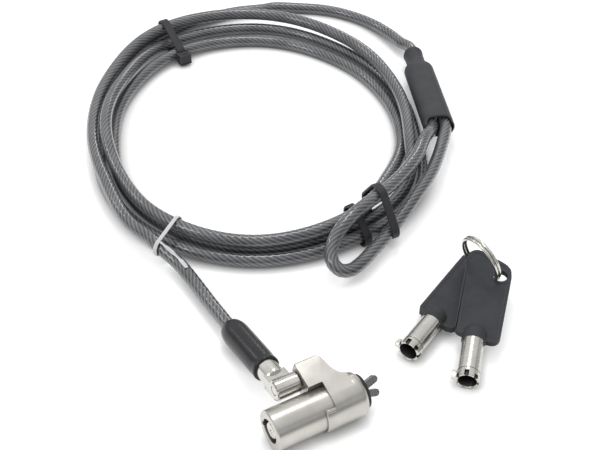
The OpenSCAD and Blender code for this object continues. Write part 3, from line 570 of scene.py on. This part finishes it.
# ---- Ties ----
# Flat black straps hold the turns together: one with a ratchet head at the top of the coil,
# and one that holds the eye down. A white paper-covered twist tie holds the lead to the coil.
tie_plastic = soft("tie_plastic", (0.022, 0.022, 0.025), (0.034, 0.034, 0.038), 0.5, 0.2 * MM,
    0.01 * MM)
tie_white = soft("tie_white", (0.6, 0.6, 0.6), (0.72, 0.72, 0.72), 0.5, 0.3 * MM, 0.01 * MM)
TIE_STEPS = 96

# Where the lead and the eye's two sides pass: mm from the coil's centre, and mm up.
WIRE_LEAD = (74.1, 7.3)
EYE_LEGS = [(65.1, 15), (73.4, 6.7)]


def strands_at(station):
    """Centres of the turns that cross a station: distance from the coil's centre, height."""
    found = []
    for u in range(int(len(COIL) / STATIONS) + 1):
        if u * STATIONS + station <= len(COIL) - 1:
            radius, layer = smooth_between(COIL, u * STATIONS + station)
            found.append((radius, COIL_REST + max(layer, 0) * LAYER_RISE))
    return found


def tie_frame(station):
    """The plane across the coil: X runs outward from its centre, Y up."""
    return (Matrix.Translation(on_table([(*COIL_CENTRE, 0)])[0])
        @ Matrix.Rotation(math.radians(COIL_START - station * 360 / STATIONS), 4, "Z")
        @ Matrix.Rotation(math.pi / 2, 4, "X"))


def strap_section(width, thick, corner=0.22):
    """A rounded rectangle: out from the strap's inner face, and across its width."""
    points = []
    for out, to_side, start in ((thick, 1, 0), (thick, -1, 270), (0, -1, 180), (0, 1, 90)):
        for k in range(4):
            a = math.radians(start + 90 - k * 30)
            middle = (out - corner if out else corner, to_side * (width / 2 - corner))
            points.append((middle[0] + corner * math.cos(a), middle[1] + corner * math.sin(a)))
    return points


def band_rings(station, strands, gap, slack, width, thick, slant=0.0):
    """Rings of a strap pulled round strands, clear of them by gap and by slack to the sides.
    A slant turns it about the strands' middle, and stretches it to match."""
    middle = (min(x for x, _ in strands) + max(x for x, _ in strands)) / 2
    swing = math.radians(slant)
    plane = (tie_frame(station) @ Matrix.Translation((middle * MM, 0, 0))
        @ Matrix.Rotation(swing, 4, "Y") @ Matrix.Scale(1 / math.cos(swing), 4, (1, 0, 0))
        @ Matrix.Translation((-middle * MM, 0, 0)))
    section = strap_section(width, thick)
    rings = []
    for i in range(TIE_STEPS):
        a = 2 * math.pi * i / TIE_STEPS
        way = Vector((math.cos(a), math.sin(a)))
        x, y = max(((x + k * slack, y) for x, y in strands for k in (-1, 1)),
            key=lambda p: p[0] * way.x + p[1] * way.y)
        reach = CABLE_R / MM + gap
        ring = []
        for out, across in section:
            p = Vector((x, y)) + way * (reach + out)
            ring.append(plane @ (Vector((p.x, max(p.y, 0.02), across)) * MM))
        rings.append(ring)
    return rings


def box_in(plane, low, high, name, body, finish, radius):
    """A moulded block between two corners in a tie's plane, its edges rounded."""
    mesh = bpy.data.meshes.new(name)
    shape = bmesh.new()
    bmesh.ops.create_cube(shape, size=1)
    for v in shape.verts:
        v.co = plane @ (Vector([low[k] + (high[k] - low[k]) * (v.co[k] + 0.5)
            for k in range(3)]) * MM)
    bmesh.ops.bevel(shape, geom=shape.edges, offset=radius, segments=3, profile=0.6,
        affect="EDGES")
    bmesh.ops.recalc_face_normals(shape, faces=shape.faces)
    shape.to_mesh(mesh)
    shape.free()
    return placed(name, mesh, body, finish)


TIE_AT = 4
coil_strands = strands_at(TIE_AT)
coil_tie = joined("coil_strap", band_rings(TIE_AT, coil_strands, 0.12, 0.4, 3.4, 0.75), "cable",
    tie_plastic, loop=True)
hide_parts("coil_tie")

# Its head and the head's pawl bar stand inside the coil, by corners in the tie's plane.
head_x = min(x for x, _ in coil_strands) - CABLE_R / MM
coil_head = box_in(tie_frame(TIE_AT), (head_x - 4.1, 1.2, -2.2), (head_x - 1.1, 5.6, 2.2),
    "coil_tie_head", "cable", tie_plastic, 0.35 * MM)
coil_pawl = box_in(tie_frame(TIE_AT), (head_x - 3.2, 5.5, -1.3), (head_x - 2.2, 5.75, 1.3),
    "coil_tie_pawl", "cable", tie_plastic, 0.08 * MM)

EYE_AT = 9.6
SLANT = -16
eye_strap = joined("eye_band", band_rings(EYE_AT, strands_at(EYE_AT) + EYE_LEGS, 0.25, 0.9, 2.9,
    0.85, SLANT), "cable", tie_plastic, loop=True)
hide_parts("eye_strap")
INNER_AT = 9.86
eye_turn = joined("eye_band_turn", band_rings(INNER_AT, strands_at(INNER_AT), 0.2, 0.7, 2.9,
    0.8), "cable", tie_plastic, loop=True)

WIRE_AT = STATIONS - 0.15
wire_strands = strands_at(WIRE_AT) + [WIRE_LEAD]
wire_tie = joined("twist_tie", band_rings(WIRE_AT, wire_strands, 0.15, 0.2, 1.4, 0.5), "cable",
    tie_white, loop=True)
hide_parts("wire_tie")


# Its loose end is twisted, and lies on the lead towards the boot.
END_STEP = 0.4 * MM
END_WIDE = 0.62 * MM
END_THICK = 0.24 * MM
END_SIDES = 10
at_lead = tie_frame(WIRE_AT) @ (Vector((*WIRE_LEAD, 0)) * MM)
near_lead = min(range(len(cable_line) // 8), key=lambda i: (cable_line[i] - at_lead).length)
end_line = evenly([at_lead + Vector((0, 0, CABLE_R + 0.55 * MM))] + [
    cable_line[near_lead - i] + Vector((0, 0, CABLE_R + 0.4 * MM)) for i in (3, 6, 9, 12)],
    END_STEP)
end_rings = []
for i, p in enumerate(end_line):
    ahead = (end_line[min(i + 1, len(end_line) - 1)] - end_line[max(i - 1, 0)]).normalized()
    flat = ahead.cross(Vector((0, 0, 1))).normalized()
    up = flat.cross(ahead)
    twist = 0.5 * math.sin(i * 0.35)
    end_rings.append([p
        + END_WIDE * math.cos(a) * (flat * math.cos(twist) + up * math.sin(twist))
        + END_THICK * math.sin(a) * (up * math.cos(twist) - flat * math.sin(twist))
        for a in (-2 * math.pi * k / END_SIDES for k in range(END_SIDES))])
twisted_end = joined("twist_tie_end", end_rings, "cable", tie_white)


# ---- Collar ----
# A die-cast swivel collar, satin nickel plated, with a swept lug that takes the hinge pin.
# A steel ring clip holds the hook carrier in it, and a rubber washer guards the laptop.
satin_nickel = metal("satin_nickel", (0.5, 0.485, 0.45), (0.57, 0.555, 0.52), 0.32, 0.12 * MM,
    0.01 * MM)
steel = metal("steel", (0.4, 0.4, 0.4), (0.52, 0.52, 0.52), 0.32, 0.2 * MM, 0.006 * MM)
washer_rubber = soft("washer_rubber", (0.028, 0.028, 0.03), (0.04, 0.04, 0.043), 0.65,
    0.15 * MM, 0.02 * MM)
eased("collar", "head", satin_nickel, 0.15 * MM)
eased("rubber_washer", "head", washer_rubber, 0.1 * MM)
dress(steel, "circlip")
LUG_TILT = 14.5
TAB_TURN = 36
collar_tab = box_in(Matrix.Rotation(math.radians(LUG_TILT + TAB_TURN), 4, "X"),
    (-15.85, -0.62, 6.8), (-12.7, 0.62, 7.45), "collar_tab", "head", nickel, 0.14 * MM)


# ---- Barrel and carrier ----
# The lock barrel is turned brass, satin nickel plated, cross-pinned to the hook carrier's
# stepped bush. The nickel plug in its face takes the key.
eased("barrel", "barrel", satin_nickel, 0.12 * MM)
dress(satin_nickel, "hook_carrier")
dress(steel, "barrel_pins", "hook_pin", "cam_sleeve", "drive_pin", "cam_pin", "draw_rod")
eased("key_core", "core", nickel, 0.06 * MM)


# ---- Tumblers and springs ----
# Seven brass pin pairs on a circle stand on steel springs in the brass stator, and one
# large steel spring pushes the draw rod back.
brass = metal("brass", (0.55, 0.42, 0.18), (0.66, 0.5, 0.22), 0.3, 0.2 * MM, 0.006 * MM)
dress(brass, "stator", "driver_pins", "key_pins")


def wire_tree(finish):
    """Geometry Nodes that wind a round wire, and set copies of it on a circle."""
    tree = bpy.data.node_groups.new("wound_wire", "GeometryNodeTree")
    face = tree.interface
    for label, kind in (("Radius", "Float"), ("Wire", "Float"), ("Turns", "Float"),
            ("Length", "Float"), ("Circle", "Float"), ("Copies", "Int")):
        face.new_socket(label, in_out="INPUT", socket_type="NodeSocket" + kind)
    face.new_socket("Geometry", in_out="OUTPUT", socket_type="NodeSocketGeometry")

    def add(kind, inputs=(), **properties):
        return add_node(tree, kind, inputs, **properties)

    given = add("NodeGroupInput").outputs
    spiral = add("GeometryNodeCurveSpiral", {"Resolution": 40, "Rotations": given["Turns"],
        "Start Radius": given["Radius"], "End Radius": given["Radius"],
        "Height": given["Length"]})
    half = add("ShaderNodeMath", {0: given["Wire"], 1: 0.5}, operation="MULTIPLY")
    section = add("GeometryNodeCurvePrimitiveCircle", {"Resolution": 14,
        "Radius": half.outputs[0]})
    tube = add("GeometryNodeCurveToMesh", {"Curve": spiral.outputs[0],
        "Profile Curve": section.outputs[0], "Fill Caps": True})
    share = add("ShaderNodeMath", {0: add("GeometryNodeInputIndex").outputs[0],
        1: given["Copies"]}, operation="DIVIDE")
    angle = add("ShaderNodeMath", {0: share.outputs[0], 1: 2 * math.pi}, operation="MULTIPLY")
    way = [add("ShaderNodeMath", {0: angle.outputs[0]}, operation=kind).outputs[0]
        for kind in ("COSINE", "SINE")]
    place = add("ShaderNodeCombineXYZ", {0: way[0], 1: way[1]})
    out = add("ShaderNodeVectorMath", {0: place.outputs[0], "Scale": given["Circle"]},
        operation="SCALE")
    points = add("GeometryNodePoints", {"Count": given["Copies"], "Position": out.outputs[0]})
    copies = add("GeometryNodeInstanceOnPoints", {"Points": points.outputs[0],
        "Instance": tube.outputs[0]})
    real = add("GeometryNodeRealizeInstances", {0: copies.outputs[0]})
    done = add("GeometryNodeSetMaterial", {"Geometry": real.outputs[0],
        "Material": finish.material})
    add("NodeGroupOutput", {0: done.outputs[0]})
    return tree


def wound(node, body, finish, place, **sizes):
    """A wound wire piece in a frame, which replaces a CAD one."""
    name = node + "_wire"
    blank = bpy.data.objects.new(name, bpy.data.meshes.new(name))
    scene.collection.objects.link(blank)
    maker = blank.modifiers.new("wire", "NODES")
    maker.node_group = wire_tree(finish)
    for item in maker.node_group.interface.items_tree:
        if item.in_out == "INPUT":
            maker[item.identifier] = sizes[item.name.lower()]
    ready = blank.evaluated_get(bpy.context.evaluated_depsgraph_get())
    mesh = bpy.data.meshes.new_from_object(ready)
    bpy.data.objects.remove(blank)
    mesh.transform(place)
    made = placed(name, mesh, body, finish)
    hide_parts(node)


# Each spring fills the length of its solid, along X. Turn is where its wire starts.
ALONG_X = Matrix(((0, 0, 1, 0), (1, 0, 0, 0), (0, 1, 0, 0), (0, 0, 0, 1)))
HOOK_TURN = 57
for node, turn, radius, wire, turns, circle, copies in (
        ("return_spring", HOOK_TURN, 3.85, 0.6, 4.0, 0.0, 1),
        ("pin_springs", HOOK_TURN + 90, 0.4, 0.2, 3.0, 3.3, 7)):
    low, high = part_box(node)
    wound(node, "barrel", steel, Matrix.Translation((low[0] + wire / 2 * MM, 0, 0))
        @ Matrix.Rotation(math.radians(turn), 4, "X") @ ALONG_X,
        radius=radius * MM, wire=wire * MM, turns=turns,
        length=high[0] - low[0] - wire * MM, circle=circle * MM, copies=copies)


# ---- Hooks ----
# Two stamped and hardened steel hooks on one pin, spread by the draw rod behind them.
hook_steel = metal("hook_steel", (0.46, 0.46, 0.46), (0.58, 0.58, 0.58), 0.2, 0.3 * MM,
    0.006 * MM)
for node, body in (("hook_upper", "hook_a"), ("hook_lower", "hook_b")):
    eased(node, body, hook_steel, 0.3 * MM, 3)


# ---- Keys ----
# Each key is a nickel-plated tube with the bitting cut round its end and a driving nub,
# moulded into a flat charcoal bow with a rim, a dome over the tube and a ring hole.
bow_plastic = soft("bow_plastic", (0.034, 0.036, 0.041), (0.046, 0.048, 0.054), 0.6, 0.18 * MM,
    0.02 * MM, 0.3)
key_plating = metal("key_plating", (0.53, 0.52, 0.49), (0.6, 0.585, 0.55), 0.24, 0.4 * MM,
    0.001 * MM)
# Painted shade: the bore and the walls of the cuts get a near-black metal, for the shade inside
# the tube.
shaded_bore = metal("shaded_bore", (0.06, 0.06, 0.058), (0.11, 0.11, 0.105), 0.45, 0.2 * MM,
    0.01 * MM)
TUBE_R = 3.65
BORE_R = TUBE_R - 0.7
CLOSED_R = 0.05
BIT_R = 3.77
BIT_LEN = 2.9
LEAD_IN = 0.15
GROOVE_R = TUBE_R - 0.3
GROOVE_END = BIT_LEN + 0.35
TUBE_LEN = 17.3
TUBE_FLOOR = 12
TUBE_SIDES = 84
NUB = ((0.3, 3.2, -0.7), (3.1, 5.1, 0.7))
CUTS = (1.9, 1.2, 1.6, 0.9, 1.4, 1.8, 1.1)
CUT_R = 0.75
CUT_OVER = 0.5
CUT_TURN = 82


def key_frame(end, height, heading, tilt):
    """The frame at a key's open end, with X along the key to its bow."""
    return (Matrix.Translation(on_table([(*end, height)])[0])
        @ Matrix.Rotation(math.radians(heading), 4, "Z")
        @ Matrix.Rotation(math.radians(-tilt), 4, "Y"))


def cut_away(mesh, cutter):
    """The mesh with the cutter's volume taken out."""
    body = bpy.data.objects.new("stock", mesh)
    tool = bpy.data.objects.new("tool", cutter)
    for each in (body, tool):
        scene.collection.objects.link(each)
    cut = body.modifiers.new("cut", "BOOLEAN")
    cut.object = tool
    cut.solver = "EXACT"
    cut.use_self = True
    done = bpy.data.meshes.new_from_object(
        body.evaluated_get(bpy.context.evaluated_depsgraph_get()))
    bpy.data.objects.remove(body)
    bpy.data.objects.remove(tool)
    return done


def key_tube(node, body, place):
    """A key's tube: turned in rings, then the cuts drilled round its end and the nub set on."""
    rings = [circle_ring(Matrix(), s * MM, r * MM, TUBE_SIDES) for s, r in (
        (LEAD_IN, BIT_R), (BIT_LEN - 0.1, BIT_R), (BIT_LEN, BIT_R - 0.1),
        (BIT_LEN, GROOVE_R), (GROOVE_END, GROOVE_R), (GROOVE_END, TUBE_R),
        (TUBE_LEN, TUBE_R), (TUBE_LEN, CLOSED_R), (TUBE_FLOOR, CLOSED_R), (TUBE_FLOOR, BORE_R),
        (LEAD_IN, BORE_R), (0, BORE_R + 0.12), (0, BIT_R - LEAD_IN))]
    shape = bmesh.new()
    corners = [[shape.verts.new(p) for p in ring] for ring in rings]
    for a, b in zip(corners, corners[1:] + corners[:1]):
        for k in range(TUBE_SIDES):
            after = (k + 1) % TUBE_SIDES
            shape.faces.new((a[k], a[after], b[after], b[k]))
    stock = bpy.data.meshes.new(node)
    shape.to_mesh(stock)
    shape.clear()
    for i, depth in enumerate(CUTS):
        a = math.radians(CUT_TURN + 360 * i / len(CUTS))
        where = (Matrix.Translation(Vector(((depth - CUT_OVER) / 2, BIT_R * math.cos(a),
            BIT_R * math.sin(a))) * MM) @ Matrix.Rotation(math.pi / 2, 4, "Y"))
        bmesh.ops.create_cone(shape, cap_ends=True, segments=20, radius1=CUT_R * MM,
            radius2=CUT_R * MM, depth=(depth + CUT_OVER) * MM, matrix=where)
    cutter = bpy.data.meshes.new("bitting")
    shape.to_mesh(cutter)
    shape.clear()
    mesh = cut_away(stock, cutter)
    shape.from_mesh(mesh)
    nub = bmesh.ops.create_cube(shape, size=1)["verts"]
    for v in nub:
        v.co = Vector([NUB[0][k] + (NUB[1][k] - NUB[0][k]) * (v.co[k] + 0.5)
            for k in range(3)]) * MM
    bmesh.ops.bevel(shape, geom=list({e for v in nub for e in v.link_edges}),
        offset=0.18 * MM, segments=2, profile=0.6, affect="EDGES")
    shape.transform(place)
    shape.to_mesh(mesh)
    shape.free()
    made = placed(node + "_piece", mesh, body, key_plating)
    mesh.materials.append(shaded_bore.material)
    back = place.inverted()
    # Painted shade: faces inside the bore and in the cuts take the near-black metal.
    for face in mesh.polygons:
        middle = back @ face.center
        out = math.hypot(middle.y, middle.z) / MM
        in_cut = out < BIT_R - 0.08 and 0.2 < middle.x / MM < BIT_LEN - 0.3
        if out < BORE_R + 0.02 or in_cut:
            face.material_index = 1
    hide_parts(node)


KEY_A = key_frame((31.7, -10.3), 3.8, 47.7, 6.8)
KEY_B = key_frame((22.4, 8.75), 4.5, 27.2, -1.5)
for body, place in (("key_a", KEY_A), ("key_b", KEY_B)):
    key_tube(body + "_tube", body, place)
for body, place in (("key_a", KEY_A), ("key_b", KEY_B)):
    eased(body + "_bow", body, bow_plastic, 0.25 * MM, 3, place.col[2].xyz, 0.9 * MM)


# ---- Split ring ----
# Spring steel wire wound twice and nickel plated. Both bows hang on it.
RING_PITCH = 1.2
RING_TURNS = 2.0
RING_ENDS = 245
RING_MIDDLE = on_table([(61.65, 25.14, 13.1)])[0]
ring_place = (Matrix.Translation(RING_MIDDLE) @ Matrix.Rotation(math.radians(7.6), 4, "Z")
    @ Matrix.Rotation(math.radians(-13), 4, "Y")
    @ Matrix.Translation((-RING_PITCH * RING_TURNS / 2 * MM, 0, 0))
    @ Matrix.Rotation(math.radians(RING_ENDS), 4, "X") @ ALONG_X)
wound("key_ring", "ring", nickel, ring_place, radius=8.4 * MM, wire=1.1 * MM,
    turns=RING_TURNS, length=RING_PITCH * RING_TURNS * MM, circle=0.0, copies=1)
